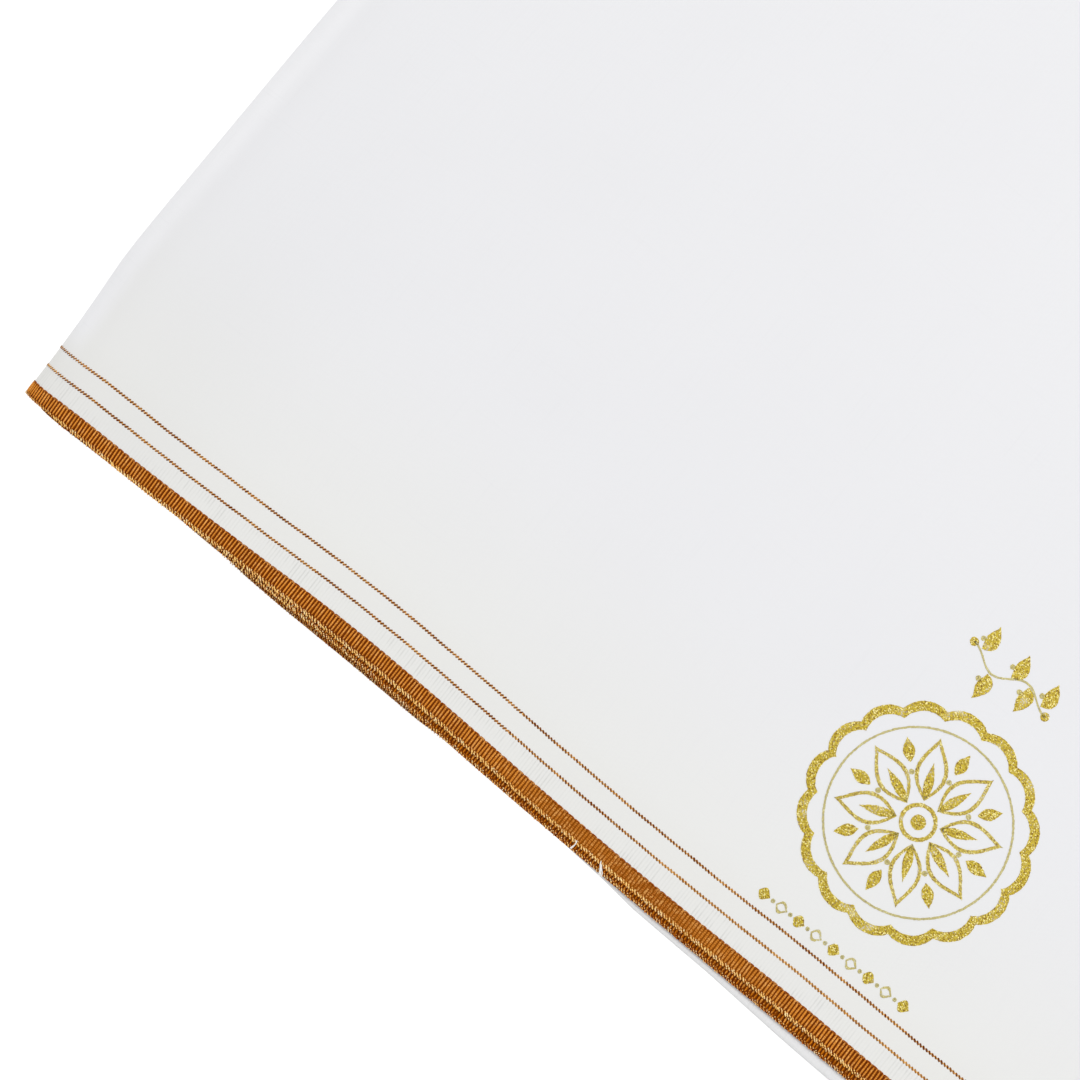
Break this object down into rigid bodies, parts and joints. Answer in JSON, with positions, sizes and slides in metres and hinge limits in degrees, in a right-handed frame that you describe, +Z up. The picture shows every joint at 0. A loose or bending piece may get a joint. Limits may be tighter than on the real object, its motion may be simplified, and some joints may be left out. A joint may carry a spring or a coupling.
{
  "type": "folded lungi",
  "caption": "White cotton lungi folded flat into a rectangular pack of layers, with a narrow brown woven border along its front edge and thin thread stripes beside it.",
  "frame": {"origin": "under the middle of the pack's box, on the surface that it rests on", "axes": "+X along the border from the left fold to the cut ends, +Y from the border at the front to the folds at the back, +Z up"},
  "size_m": [0.2514, 0.3238, 0.0137],
  "materials": {
    "white_cotton": "fine plain woven cotton, ironed, matt with a faint sheen",
    "brown_border": "ribbed ochre-brown band with a light stitched selvedge, slightly silky",
    "white_layers": "edges of many layers of fine white cotton"
  },
  "bodies": {
    "root": {"top_cloth": "white_cotton", "top_border": "brown_border", "second_border": "brown_border", "front_fold": "white_cotton", "under_cloth": "white_cotton", "under_border": "brown_border", "hidden_layers": "white_layers"}
  },
  "joints": []
}
